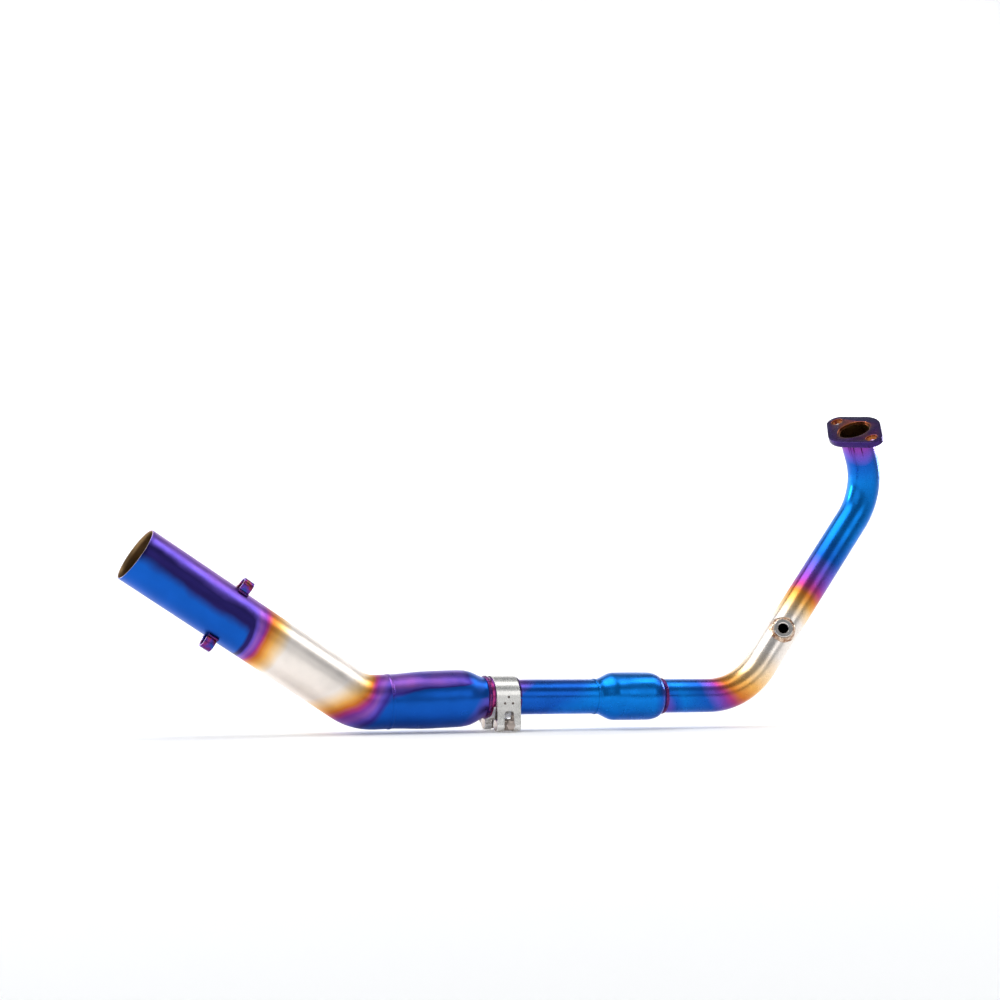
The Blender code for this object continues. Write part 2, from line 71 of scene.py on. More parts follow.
def paper_sweep():
    """Flat under the exhaust, then turning up behind it into a wall."""
    sweep = bmesh.new()
    front, back, height, reach, turn = -8.0, 2.2, 3.3, 8.0, 1.0
    edge = [sweep.verts.new((-reach, y, 0)) for y in (front, back)]
    sweep.edges.new(edge)
    tip = edge[1]
    bmesh.ops.spin(sweep, geom=[tip], cent=(-reach, back, turn), axis=(1, 0, 0), angle=math.pi / 2,
                   steps=24, use_merge=False)
    sweep.verts.ensure_lookup_table()
    last = max(sweep.verts, key=lambda vert: vert.co.z)
    top = sweep.verts.new((-reach, last.co.y, height))
    sweep.edges.new((last, top))
    drawn = bmesh.ops.extrude_edge_only(sweep, edges=sweep.edges[:])["geom"]
    moved = [item for item in drawn if isinstance(item, bmesh.types.BMVert)]
    bmesh.ops.translate(sweep, verts=moved, vec=(2 * reach, 0, 0))
    bmesh.ops.translate(sweep, verts=sweep.verts, vec=(slip_axis.x, 0, floor_level))
    bmesh.ops.recalc_face_normals(sweep, faces=sweep.faces)
    mesh = bpy.data.meshes.new("paper_sweep")
    sweep.to_mesh(mesh)
    sweep.free()
    mesh.shade_smooth()
    paper = bpy.data.objects.new("paper_sweep", mesh)
    paper.data.materials.append(studio_paper())
    bpy.context.scene.collection.objects.link(paper)


def soft_box(name, place, target, width, height, power):
    """A rectangular lamp turned towards its target."""
    lamp = bpy.data.lights.new(name, "AREA")
    lamp.shape = "RECTANGLE"
    lamp.size, lamp.size_y = width, height
    lamp.energy = power
    box = bpy.data.objects.new(name, lamp)
    box.location = place
    box.rotation_euler = (target - place).to_track_quat("-Z", "Y").to_euler()
    bpy.context.scene.collection.objects.link(box)


def studio_camera():
    """At the exhaust's level and a little to its left, looking at the middle of it."""
    lens = bpy.data.cameras.new("studio_camera")
    lens.sensor_width = 36
    lens.lens = 48.6
    lens.clip_end = 50
    camera = bpy.data.objects.new("studio_camera", lens)
    right = Vector((0.9394, -0.3427, 0.0069)).normalized()
    forward = Vector((0.3401, 0.9345, 0.1045)).normalized()
    up = right.cross(forward)
    camera.matrix_world = Matrix.Translation(slip_axis + Vector((-0.4378, -1.2441, 0.0534))) @ \
        Matrix((right, up, -forward)).transposed().to_4x4()
    bpy.context.scene.collection.objects.link(camera)
    bpy.context.scene.camera = camera


paper_sweep()
middle = slip_axis + Vector((0, 0, 0.1))
tail_middle = middle + Vector((-0.22, 0, 0.1))
soft_box("front_soft_box", middle + Vector((0.83, -1.9, 0.72)), middle + Vector((0.1, 0, 0)), 0.95, 0.95, 3.6)
soft_box("left_soft_box", middle + Vector((-1.35, -0.9, 0.66)), middle + Vector((0.35, 0, 0.1)), 1.6, 1.1, 4.6)
soft_box("right_high_box", middle + Vector((1.26, -0.1, 1.4)), tail_middle, 0.9, 0.9, 7.5)
soft_box("right_overhead_box", middle + Vector((0.36, -0.2, 1.5)), middle, 0.5, 1.3, 2.8)
soft_box("overhead_soft_box", middle + Vector((-0.5, 0.1, 1.6)), middle, 1.5, 1.1, 15)
for word, place, target in (("left", (-2.0, 1.7, 1.1), (1.2, 3.2, 0.7)),
                            ("right", (3.7, 0.9, 1.1), (1.0, 3.2, 0.7))):
    soft_box(word + "_backdrop_light", middle + Vector(place), middle + Vector(target), 0.8, 1.6, 85)
studio_camera()

room = bpy.data.worlds.new("studio_room")
room.use_nodes = True
room.node_tree.nodes["Background"].inputs["Color"].default_value = (0.9, 0.95, 1, 1)
room.node_tree.nodes["Background"].inputs["Strength"].default_value = 0.32
bpy.context.scene.world = room
bpy.context.scene.view_settings.view_transform = "Standard"


# ---------------------------------------------------------------------------
# Header pipe. A 34 mm stainless tube bent twice, in two planes, polished, then tinted by a torch: dark
# violet and blue from the head, through magenta and gold to bare steel at the sensor, blue again below.
header_radius = 0.017
pipe_wall = 0.0012
fine_sides = 96
head_normal = Vector((-0.495704, -0.350988, 0.794415))
slant = Vector((0.594823, 0, 0.803857))
outer_side = Vector((0, -1, 0))
flange_to_corner, slant_length, header_end_ahead = 0.0770, 0.2757, 0.1898
top_bend_radius, lower_bend_radius = 0.060, 0.077
top_corner = -flange_to_corner * head_normal
lower_corner = top_corner - slant_length * slant
header_end = slip_axis + Vector((header_end_ahead, 0, 0))


def frame_at(point, axis, across):
    """A place with its Z along the axis and its X as near to across as it can be."""
    z = axis.normalized()
    x = (across - across.dot(z) * z).normalized()
    return Matrix.Translation(point) @ Matrix((x, z.cross(x), z)).transposed().to_4x4()


def bend(before, corner, after, radius, step=2.0):
    """(point, tangent) along the arc that rounds a corner between two points."""
    inward, outward = (corner - before).normalized(), (after - corner).normalized()
    turn = inward.angle(outward)
    start = corner - radius * math.tan(turn / 2) * inward
    normal = inward.cross(outward).normalized()
    centre = start + radius * normal.cross(inward)
    count = math.ceil(math.degrees(turn) / step)
    arc = []
    for index in range(count + 1):
        swing = Matrix.Rotation(turn * index / count, 3, normal)
        arc.append((centre + swing @ (start - centre), swing @ inward))
    return arc


def straight(first, last, step=0.004):
    """(point, tangent) along a straight run, without its last point."""
    run = last - first
    count = max(1, round(run.length / step))
    return [(first + run * index / count, run.normalized()) for index in range(count)]


def shown(name, piece, body, nodes, finish, sharp=40):
    """Turns a finished bmesh into a piece that stands for these model nodes and rides on their body."""
    mesh = bpy.data.meshes.new(name)
    piece.to_mesh(mesh)
    piece.free()
    mesh.shade_smooth()
    mesh.set_sharp_from_angle(angle=math.radians(sharp))
    made = bpy.data.objects.new(name, mesh)
    mesh.materials.append(finish)
    bpy.context.scene.collection.objects.link(made)
    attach(made, body)
    if nodes:
        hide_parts(*nodes)
    return made


def drawn_tube(stations, across=outer_side, sides=fine_sides, first_run=0.0, tint=None):
    """A tube drawn from ring to ring along (point, tangent, outer radius, inner radius) stations. Its verts
    keep, in metres, where on the scale of tints they lie, and whether they are in the bore. On some pipes that
    place mixes the heat tint along the pipe with a painted reflection colour by height."""
    rings, run, last = [], first_run, None
    for point, tangent, outer, inner in stations:
        if last is not None:
            run += (point - last).length
        last = point
        place = frame_at(point, tangent, across)
        across = place.to_3x3().col[0]
        rings.append((place, outer, inner, run))
    path = [(place, outer, run, 0) for place, outer, inner, run in rings]
    path += [(place, inner, run, 1) for place, outer, inner, run in reversed(rings)]
    tube = bmesh.new()
    tube.verts.layers.float.new("tint_place")
    bore = tube.verts.layers.float.new("in_bore")
    heat_and_reflection_place = tube.verts.layers.float["tint_place"]

    def mark(verts, place, run, inside):
        for vert in verts:
            # A tint function may shift the place by height (lift): that paints reflection colour onto the
            # tube's top and underside.
            vert[heat_and_reflection_place] = tint(run, vert.co.z - place.translation.z) if tint else run
            vert[bore] = inside

    place, radius, run, inside = path[0]
    made = bmesh.ops.create_circle(tube, cap_ends=False, segments=sides, radius=radius, matrix=place)["verts"]
    mark(made, place, run, inside)
    edges = list({edge for vert in made for edge in vert.link_edges})
    for next_place, next_radius, run, inside in path[1:] + path[:1]:
        drawn = bmesh.ops.extrude_edge_only(tube, edges=edges)["geom"]
        verts = [item for item in drawn if isinstance(item, bmesh.types.BMVert)]
        found = set(verts)
        edges = [item for item in drawn if isinstance(item, bmesh.types.BMEdge) and found >= set(item.verts)]
        change = next_place @ Matrix.Scale(next_radius / radius, 4) @ place.inverted()
        bmesh.ops.transform(tube, matrix=change, verts=verts)
        mark(verts, next_place, run, inside)
        place, radius = next_place, next_radius
    bmesh.ops.remove_doubles(tube, verts=tube.verts, dist=1e-6)
    bmesh.ops.recalc_face_normals(tube, faces=tube.faces)
    return tube


def drilled(piece, cutter):
    """Takes the cutter's shape out of the piece and keeps only the result."""
    mesh = bpy.data.meshes.new("cutter")
    bmesh.ops.recalc_face_normals(cutter, faces=cutter.faces)
    cutter.to_mesh(mesh)
    cutter.free()
    tool = bpy.data.objects.new("cutter", mesh)
    bpy.context.scene.collection.objects.link(tool)
    cut = piece.modifiers.new("Drill", "BOOLEAN")
    cut.operation, cut.solver, cut.object = "DIFFERENCE", "EXACT", tool
    bpy.context.view_layer.update()
    done = bpy.data.meshes.new_from_object(piece.evaluated_get(bpy.context.evaluated_depsgraph_get()))
    piece.modifiers.remove(cut)
    piece.data = done
    bpy.data.objects.remove(tool)
    return piece


def rod(bm, start, end, radius, sides=48, across=outer_side):
    """A plain capped cylinder from start to end."""
    place = frame_at((start + end) / 2, end - start, across)
    return bmesh.ops.create_cone(bm, cap_ends=True, segments=sides, radius1=radius, radius2=radius,
                                 depth=(end - start).length, matrix=place)["verts"]


def linked(material, kind, inputs=None, **settings):
    """A node of this kind with its settings made. An input is a number, a colour or another node's output."""
    node = material.node_tree.nodes.new(kind)
    for name, value in settings.items():
        setattr(node, name, value)
    for name, value in (inputs or {}).items():
        if isinstance(value, bpy.types.NodeSocket):
            material.node_tree.links.new(value, node.inputs[name])
        else:
            node.inputs[name].default_value = value
    return node


def metal(name, roughness):
    """A new metal and its shader."""
    made = bpy.data.materials.new(name)
    made.use_nodes = True
    shader = made.node_tree.nodes["Principled BSDF"]
    shader.inputs["Metallic"].default_value = 1
    shader.inputs["Roughness"].default_value = roughness
    return made, shader


def polished(made, shader, roughness, spread=0.06, scale=60, grain=0.02):
    """Uneven polish: clouds of haze in the roughness, and the fine relief that polishing leaves. Gives back
    the place that textures go by, and the haze."""
    links = made.node_tree.links
    where = linked(made, "ShaderNodeTexCoord").outputs["Object"]
    haze = linked(made, "ShaderNodeTexNoise", {"Vector": where, "Scale": scale, "Detail": 5, "Roughness": 0.6})
    rough = linked(made, "ShaderNodeMapRange", {"Value": haze.outputs["Fac"], "From Min": 0.3, "From Max": 0.7,
                                                "To Min": roughness - spread, "To Max": roughness + spread})
    links.new(rough.outputs["Result"], shader.inputs["Roughness"])
    fine = linked(made, "ShaderNodeTexNoise", {"Vector": where, "Scale": 1100, "Detail": 2})
    relief = linked(made, "ShaderNodeBump", {"Strength": grain, "Distance": 0.0002,
                                             "Height": fine.outputs["Fac"]})
    links.new(relief.outputs["Normal"], shader.inputs["Normal"])
    return where, haze


def tinted_steel(name, tints, waver=0.005, roughness=0.28, blotch=0.2, bore_colour=(0.34, 0.21, 0.08)):
    """Polished stainless with heat tints, a list of (metres along the exhaust, colour). Where a pipe's tint
    place is shifted by height, the same scale also paints reflection colour. The colours wander by the waver,
    in metres, and the bore is browned by the exhaust gas."""
    made, shader = metal(name, roughness)
    where = polished(made, shader, roughness)[0]
    heat_and_reflection_place = linked(made, "ShaderNodeAttribute", attribute_name="tint_place").outputs["Fac"]
    cloud = linked(made, "ShaderNodeTexNoise", {"Vector": where, "Scale": 26, "Detail": 3})
    stray = linked(made, "ShaderNodeMapRange", {"Value": cloud.outputs["Fac"], "From Min": 0.25,
                                                "From Max": 0.75, "To Min": -waver, "To Max": waver})
    at = linked(made, "ShaderNodeMath", {0: heat_and_reflection_place, 1: stray.outputs["Result"]})
    low, high = tints[0][0], tints[-1][0]
    share = linked(made, "ShaderNodeMapRange", {"Value": at.outputs[0], "From Min": low, "From Max": high})
    scale = linked(made, "ShaderNodeValToRGB", {"Fac": share.outputs["Result"]})
    stops = scale.color_ramp.elements
    stops.remove(stops[1])
    for index, (place, colour) in enumerate(tints):
        stop = stops[0] if index == 0 else stops.new((place - low) / (high - low))
        stop.position = (place - low) / (high - low)
        stop.color = (*colour, 1)
    film = linked(made, "ShaderNodeTexNoise", {"Vector": where, "Scale": 38, "Detail": 3, "Roughness": 0.5})
    shade = linked(made, "ShaderNodeMapRange", {"Value": film.outputs["Fac"], "From Min": 0.3, "From Max": 0.7,
                                                "To Min": 1 - 0.4 * blotch, "To Max": 1 + 0.4 * blotch})
    toned = linked(made, "ShaderNodeVectorMath", {0: scale.outputs["Color"], "Scale": shade.outputs["Result"]},
                   operation="SCALE")
    bore = linked(made, "ShaderNodeAttribute", attribute_name="in_bore").outputs["Fac"]
    browned = linked(made, "ShaderNodeMix", {"Factor": bore, "A": toned.outputs["Vector"]}, data_type="RGBA")
    browned.inputs["B"].default_value = (*bore_colour, 1)
    made.node_tree.links.new(browned.outputs["Result"], shader.inputs["Base Color"])
    return made


silver = (0.84, 0.77, 0.71)
straw = (0.84, 0.60, 0.34)
gold = (0.78, 0.40, 0.10)
orange = (0.60, 0.17, 0.025)
magenta = (0.42, 0.045, 0.18)
purple = (0.23, 0.05, 0.36)
plum = (0.27, 0.10, 0.46)
violet = (0.13, 0.08, 0.50)
dusk = (0.045, 0.030, 0.28)
indigo = (0.022, 0.016, 0.12)
royal = (0.008, 0.095, 0.47)
sky = (0.005, 0.175, 0.62)
deep_violet = (0.055, 0.025, 0.12)

header_tints = [(0.004, deep_violet), (0.014, purple), (0.024, violet), (0.034, royal), (0.060, sky),
                (0.130, sky), (0.165, royal), (0.184, violet), (0.196, purple), (0.205, magenta),
                (0.213, orange), (0.224, gold), (0.235, straw), (0.248, silver), (0.288, silver),
                (0.314, straw), (0.331, gold), (0.346, orange), (0.357, magenta), (0.365, purple),
                (0.374, violet), (0.384, royal), (0.412, sky), (0.422, royal), (0.430, violet)]


def header_heat(run, lift):
    """The torch reached further up the outside of the lower bend."""
    return run - 0.7 * lift * min(1, max(0, (run - 0.27) / 0.04))


header_route = [(-0.0025 * head_normal, -head_normal)]
header_route += bend(Vector(), top_corner, lower_corner, top_bend_radius)
upper_stop = header_route[-1][0]
lower_arc = bend(top_corner, lower_corner, slip_axis, lower_bend_radius)
header_route += straight(upper_stop, lower_arc[0][0])[1:] + lower_arc
header_route += straight(lower_arc[-1][0], header_end)[1:] + [(header_end, Vector((-1, 0, 0)))]
header = drawn_tube([(point, tangent, header_radius, header_radius - pipe_wall)
                     for point, tangent in header_route], tint=header_heat)
header_steel = tinted_steel("header_tinted_steel", header_tints)
header_pipe = shown("header_pipe_tube", header, "header", ["header_pipe"], header_steel)
bung_hole = 0.0055
bung_middle = lower_corner + 0.080 * slant
bung_turn = math.radians(26)                # round the pipe, from square to its outer side
bung_axis = (math.cos(bung_turn) * outer_side - math.sin(bung_turn) * slant.cross(outer_side)).normalized()
sensor_hole = bmesh.new()
rod(sensor_hole, bung_middle, bung_middle + 0.034 * bung_axis, bung_hole)
drilled(header_pipe, sensor_hole)


# ---------------------------------------------------------------------------
# Head flange. A 6 mm two-lug plate cut from stainless, edges broken, drilled for the pipe and two studs,
# and darkened to violet by the welding heat with brown straw colours in its holes.
flange_thickness, flange_middle_radius, lug_radius = 0.006, 0.02796, 0.01136
stud_offset, stud_hole = 0.033, 0.006
lug_line = Vector((0.016, -0.919, -0.395))
lug_line = (lug_line - lug_line.dot(head_normal) * head_normal).normalized()


def flange_steel():
    """Violet scorched steel, brown where the scorch attribute nears 1 round the holes."""
    made, shader = metal("flange_violet_steel", 0.26)
    where = polished(made, shader, 0.27, scale=90, grain=0.12)[0]
    scorch = linked(made, "ShaderNodeAttribute", attribute_name="scorch").outputs["Fac"]
    cloud = linked(made, "ShaderNodeTexNoise", {"Vector": where, "Scale": 60, "Detail": 4})
    patchy = linked(made, "ShaderNodeMath", {0: cloud.outputs["Fac"], 1: 0.35, 2: -0.17},
                    operation="MULTIPLY_ADD")
    at = linked(made, "ShaderNodeMath", {0: scorch, 1: patchy.outputs[0]})
    scale = linked(made, "ShaderNodeValToRGB", {"Fac": at.outputs[0]})
    stops = scale.color_ramp.elements
    stops[0].position, stops[0].color = 0.0, (0.045, 0.022, 0.13, 1)
    stops[1].position, stops[1].color = 1.0, (0.30, 0.13, 0.04, 1)
    for place, colour in ((0.3, (0.07, 0.022, 0.14)), (0.6, (0.10, 0.025, 0.10)), (0.82, (0.34, 0.10, 0.03))):
        stops.new(place).color = (*colour, 1)
    made.node_tree.links.new(scale.outputs["Color"], shader.inputs["Base Color"])
    return made


plate = bmesh.new()
for offset, radius in ((-stud_offset, lug_radius), (0, flange_middle_radius), (stud_offset, lug_radius)):
    for height in (-flange_thickness, 0):
        place = frame_at(offset * lug_line + height * head_normal, head_normal, lug_line)
        bmesh.ops.create_circle(plate, cap_ends=False, segments=96, radius=radius, matrix=place)
bmesh.ops.convex_hull(plate, input=plate.verts)
bmesh.ops.delete(plate, geom=[edge for edge in plate.edges if not edge.link_faces], context="EDGES")
bmesh.ops.delete(plate, geom=[vert for vert in plate.verts if not vert.link_faces], context="VERTS")
bmesh.ops.dissolve_limit(plate, angle_limit=math.radians(0.5), verts=plate.verts, edges=plate.edges)
flange = shown("head_flange_plate", plate, "header", ["head_flange"], flange_steel(), 30)
holes = bmesh.new()
through = 2 * flange_thickness * head_normal
rod(holes, -through, through, header_radius + 0.0003, 96)
for offset in (-stud_offset, stud_offset):
    rod(holes, offset * lug_line - through, offset * lug_line + through, stud_hole)
drilled(flange, holes)
broken = bmesh.new()
broken.from_mesh(flange.data)
rims = [edge for edge in broken.edges
        if len(edge.link_faces) == 2 and edge.calc_face_angle() > math.radians(60)]
bmesh.ops.bevel(broken, geom=rims, offset=0.0006, segments=3, profile=0.5, affect="EDGES", material=-1)
scorch = broken.verts.layers.float.new("scorch")
for vert in broken.verts:
    away = min((vert.co - offset * lug_line + flange_thickness / 2 * head_normal).length - hole
               for offset, hole in ((0, header_radius), (stud_offset, stud_hole), (-stud_offset, stud_hole)))
    vert[scorch] = 1 - min(1, max(0, away / 0.0035))
broken.to_mesh(flange.data)
broken.free()
flange.data.shade_smooth()
flange.data.set_sharp_from_angle(angle=math.radians(40))


# ---------------------------------------------------------------------------
# Round welds. Each is one pass of TIG bead laid as overlapping ripples round the pipe, in the violet and
# magenta of its own heat. The rougher bead round the sensor bung is straw-coloured.
def bead_steel(name, low, high, roughness=0.28):
    """Weld metal that mottles between two heat colours."""
    made, shader = metal(name, roughness)
    where = polished(made, shader, roughness, 0.08, 160, 0.1)[0]
    cloud = linked(made, "ShaderNodeTexNoise", {"Vector": where, "Scale": 220, "Detail": 4})
    scale = linked(made, "ShaderNodeValToRGB", {"Fac": cloud.outputs["Fac"]})
    stops = scale.color_ramp.elements
    stops[0].position, stops[0].color = 0.36, (*low, 1)
    stops[1].position, stops[1].color = 0.62, (*high, 1)
    made.node_tree.links.new(scale.outputs["Color"], shader.inputs["Base Color"])
    return made


def ripple_bead(point, run, radius, width, height, ripples, first_run=0.0, tint=None):
    """A crowned ring whose ripples overlap like fallen coins."""
    stations = []
    for index in range(13):
        share = index / 12 - 0.5
        crown = height * (1 - (2 * share) ** 2) ** 0.5
        stations.append((point + share * width * run, run, radius + crown + 0.0001, radius))
    bead = drawn_tube(stations, sides=8 * ripples, first_run=first_run, tint=tint)
    place = frame_at(point, run, outer_side)
    back = place.inverted()
    for vert in bead.verts:
        local = back @ vert.co
        out = math.hypot(local.x, local.y)
        if out < radius + 0.00005:
            continue
        swept = math.atan2(local.y, local.x) + 5 * (local.z / width) ** 2 * 2 * math.pi / ripples
        wave = abs(math.sin(swept * ripples / 2))
        grown = 1 + (wave - 0.55) * 0.3 * (out - radius) / out
        vert.co = place @ Vector((local.x * grown, local.y * grown, local.z))
    return bead


violet_bead = bead_steel("violet_weld", (0.045, 0.02, 0.14), (0.17, 0.03, 0.13))
straw_bead = bead_steel("straw_weld", (0.30, 0.15, 0.08), (0.66, 0.52, 0.40))
level = Vector((1, 0, 0))               # along the slip joint, towards the head
chamber_run = Vector((-0.999391, 0, -0.034899))
flange_ring = ripple_bead(-0.0081 * head_normal, -head_normal, header_radius + 0.0003, 0.0040, 0.0013, 34)
shown("flange_weld_bead", flange_ring, "header", ["flange_weld"], violet_bead)
front_ring = ripple_bead(slip_axis + 0.18965 * level, level, header_radius + 0.0002, 0.0036, 0.0008, 40)
shown("resonator_front_bead", front_ring, "header", ["resonator_front_weld"], violet_bead)
shown("collar_bead", ripple_bead(slip_axis + 0.0004 * level, level, 0.0196, 0.0036, 0.0010, 44),
      "rear_section", ["collar_weld"], violet_bead)


# ---------------------------------------------------------------------------
# Sensor bung. A turned and drilled stainless boss, saddled on the pipe and welded round with a rough
# straw-coloured fillet; its M12 thread is cut into the bore.
bung_radius, bung_top = 0.0098, 0.0212
bung_place = frame_at(bung_middle, bung_axis, slant)


def turned_steel(name, colour, roughness):
    """Lathe-turned steel of one colour, slightly uneven."""
    made, shader = metal(name, roughness)
    haze = polished(made, shader, roughness, 0.05, 120, 0.15)[1]
    tone = linked(made, "ShaderNodeMapRange", {"Value": haze.outputs["Fac"], "To Min": 0.8, "To Max": 1.15})
    toned = linked(made, "ShaderNodeVectorMath", {0: colour, "Scale": tone.outputs["Result"]},
                   operation="SCALE")
    made.node_tree.links.new(toned.outputs["Vector"], shader.inputs["Base Color"])
    return made


boss = bmesh.new()
thread_depth, pitch = 0.0004, 0.00125
profile = [(bung_radius, 0), (bung_radius, bung_top - 0.0006), (bung_radius - 0.0006, bung_top),
           (bung_hole + 0.0008, bung_top), (bung_hole, bung_top - 0.0008)]
for turn in range(2):
    top = bung_top - 0.0008 - turn * pitch
    profile += [(bung_hole + thread_depth, top - 0.35 * pitch), (bung_hole, top - 0.85 * pitch)]
profile += [(bung_hole, 0)]


def turned(bm, profile, steps):
    """Spins a closed (radius, height) outline round Z."""
    outline = [bm.verts.new((radius, 0, height)) for radius, height in profile]
    lines = [bm.edges.new(pair) for pair in zip(outline, outline[1:] + outline[:1])]
    bmesh.ops.spin(bm, geom=outline + lines, cent=(0, 0, 0), axis=(0, 0, 1), angle=2 * math.pi, steps=steps,
                   use_merge=True)
    bmesh.ops.remove_doubles(bm, verts=bm.verts, dist=1e-7)


turned(boss, profile, 64)
for vert in boss.verts:
    if vert.co.z < 0.001:
        vert.co.z = math.sqrt((header_radius + 0.0003) ** 2 - vert.co.y ** 2)
boss.transform(bung_place)
bmesh.ops.recalc_face_normals(boss, faces=boss.faces)
shown("sensor_bung_boss", boss, "header", ["sensor_bung"],
      turned_steel("turned_steel", (0.70, 0.66, 0.62), 0.2), 35)

fillet = bmesh.new()
fillet_rows = [(0.0002, 0.0), (0.0002, 0.0026), (0.0010, 0.0025), (0.0020, 0.0019), (0.0030, 0.0011),
               (0.0038, 0.0003), (0.0040, 0.0)]
turned(fillet, [(bung_radius + out, height) for out, height in fillet_rows], 180)
for vert in fillet.verts:
    around, lift = math.atan2(vert.co.y, vert.co.x), vert.co.z
    lump = abs(math.sin(around * 11 + 0.6 * math.sin(3 * around))) * (0.35 if lift > 0.0008 else 0)
    if math.hypot(vert.co.x, vert.co.y) > bung_radius + 0.0009:
        spread = 1 + 0.022 * math.sin(7 * around + 1)
        vert.co.x *= spread
        vert.co.y *= spread
    under = min(abs(vert.co.y), header_radius)
    vert.co.z = math.sqrt((header_radius + 0.0002) ** 2 - under ** 2) + lift * (0.8 + lump)
fillet.transform(bung_place)
bmesh.ops.recalc_face_normals(fillet, faces=fillet.faces)
shown("bung_fillet_bead", fillet, "header", ["bung_weld"], straw_bead, 60)


# ---------------------------------------------------------------------------
# Resonator and mid pipe. The shell is one tube swaged down at both ends: a spun dome in front, and a cone
# behind that was worked by hand and shows it. Both are tinted sky blue, violet towards the clamp. The violet
# reaching along the top and the blue along the underside is painted reflection colour by height.
resonator_radius = 0.02375
swage = resonator_radius - header_radius            # how far the shell stands out from the pipe
mid_tints = [(0.424, violet), (0.436, royal), (0.446, sky), (0.515, sky), (0.540, royal), (0.590, royal),
             (0.602, violet), (0.614, plum), (0.636, purple)]


def mid_heat_and_reflection(run, lift):
    """The violet by the clamp reaches further along the top, and the blue further along the underside: painted
    reflection colour by height, over the heat tint along the pipe.
    """
    return run + 1.6 * min(1, max(0, (run - 0.49) / 0.04)) * lift


mid_steel = tinted_steel("mid_tinted_steel", mid_tints)
rows = [(0.1158, header_radius)]
for step in range(1, 25):
    share = step / 24
    rows.append((0.1158 + 0.0207 * share, header_radius + (1 - math.cos(math.pi * share)) / 2 * swage))
rows += [(0.1365 + 0.036 * step / 9, resonator_radius) for step in range(1, 10)]
for step in range(1, 17):
    swing = step / 16 * math.pi / 2
    rows.append((0.1725 + 0.0145 * math.sin(swing), header_radius + swage * math.cos(swing)))
rows.append((0.1894, header_radius))
shell = drawn_tube([(slip_axis + ahead * level, level, radius, radius - pipe_wall) for ahead, radius in rows],
                   first_run=0.503, tint=lambda run, lift: mid_heat_and_reflection(1.006 - run, lift))
for vert in shell.verts:
    ahead = vert.co.x - slip_axis.x
    off = Vector((0, vert.co.y - slip_axis.y, vert.co.z - slip_axis.z))
    if 0.117 < ahead < 0.150:
        worked = math.sin(math.pi * (ahead - 0.117) / 0.033)
        around = math.atan2(off.z, -off.y)
        flat = (math.sin(5 * around + 0.8) * 0.00022
                + math.sin(3 * around - 0.4 + 60 * (ahead - 0.117)) * 0.00018)
        vert.co += off.normalized() * worked * (flat - 0.00025)
shown("resonator_shell_tube", shell, "header", ["resonator_shell"], mid_steel)

mid = drawn_tube([(point, tangent, header_radius, header_radius - pipe_wall) for point, tangent in
                  straight(slip_axis + 0.1155 * level, slip_axis + 0.0035 * level)
                  + [(slip_axis + 0.0035 * level, -level)]], first_run=0.5035, tint=mid_heat_and_reflection)
shown("mid_pipe_tube", mid, "header", ["connector_pipe"], mid_steel)
rear_ring = ripple_bead(slip_axis + 0.1157 * level, -level, header_radius + 0.0002, 0.0026, 0.0003, 40,
                        0.502, mid_heat_and_reflection)
shown("resonator_rear_bead", rear_ring, "header", ["resonator_rear_weld"], mid_steel)


# ---------------------------------------------------------------------------
# Slip joint. A pressed graphite sleeve sits on the pipe's end, inside a collar with four slits that the
# clamp can close; the collar is dark violet from the weld behind it.
def graphite_finish():
    """Dull black with fine flakes."""
    made = bpy.data.materials.new("graphite")
    made.use_nodes = True
    shader = made.node_tree.nodes["Principled BSDF"]
    where = linked(made, "ShaderNodeTexCoord").outputs["Object"]
    flakes = linked(made, "ShaderNodeTexVoronoi", {"Vector": where, "Scale": 700})
    tone = linked(made, "ShaderNodeValToRGB", {"Fac": flakes.outputs["Distance"]})
    tone.color_ramp.elements[0].color = (0.020, 0.020, 0.022, 1)
    tone.color_ramp.elements[1].color = (0.075, 0.075, 0.080, 1)
    made.node_tree.links.new(tone.outputs["Color"], shader.inputs["Base Color"])
    shader.inputs["Roughness"].default_value = 0.55
    relief = linked(made, "ShaderNodeBump", {"Strength": 0.3, "Distance": 0.0002,
                                             "Height": flakes.outputs["Distance"]})
    made.node_tree.links.new(relief.outputs["Normal"], shader.inputs["Normal"])
    return made


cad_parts["joint_gasket"].data.materials[0] = graphite_finish()

collar_radius, collar_bore = 0.0194, 0.0182
collar_tints = [(0.586, deep_violet), (0.596, indigo), (0.606, violet), (0.614, purple), (0.617, magenta),
                (0.620, deep_violet)]
collar_rows = [(0.0324, collar_radius - 0.0002), (0.0322, collar_radius)]
collar_rows += [(0.0322 - 0.0318 * step / 10, collar_radius) for step in range(1, 11)]
collar = drawn_tube([(slip_axis + ahead * level, -level, radius, collar_bore) for ahead, radius in collar_rows],
                    first_run=0.5868)
collar_piece = shown("slip_collar_tube", collar, "rear_section", ["slip_collar"],
                     tinted_steel("collar_tinted_steel", collar_tints, roughness=0.24))
slit_length, slit_width, collar_front = 0.0235, 0.0016, 0.0325
for size in ((2 * slit_length, 0.08, slit_width), (2 * slit_length, slit_width, 0.08)):
    slit = bmesh.new()
    bmesh.ops.create_cube(slit, size=1, matrix=Matrix.Translation(slip_axis + collar_front * level)
                          @ Matrix.Diagonal((*size, 1)))
    drilled(collar_piece, slit)


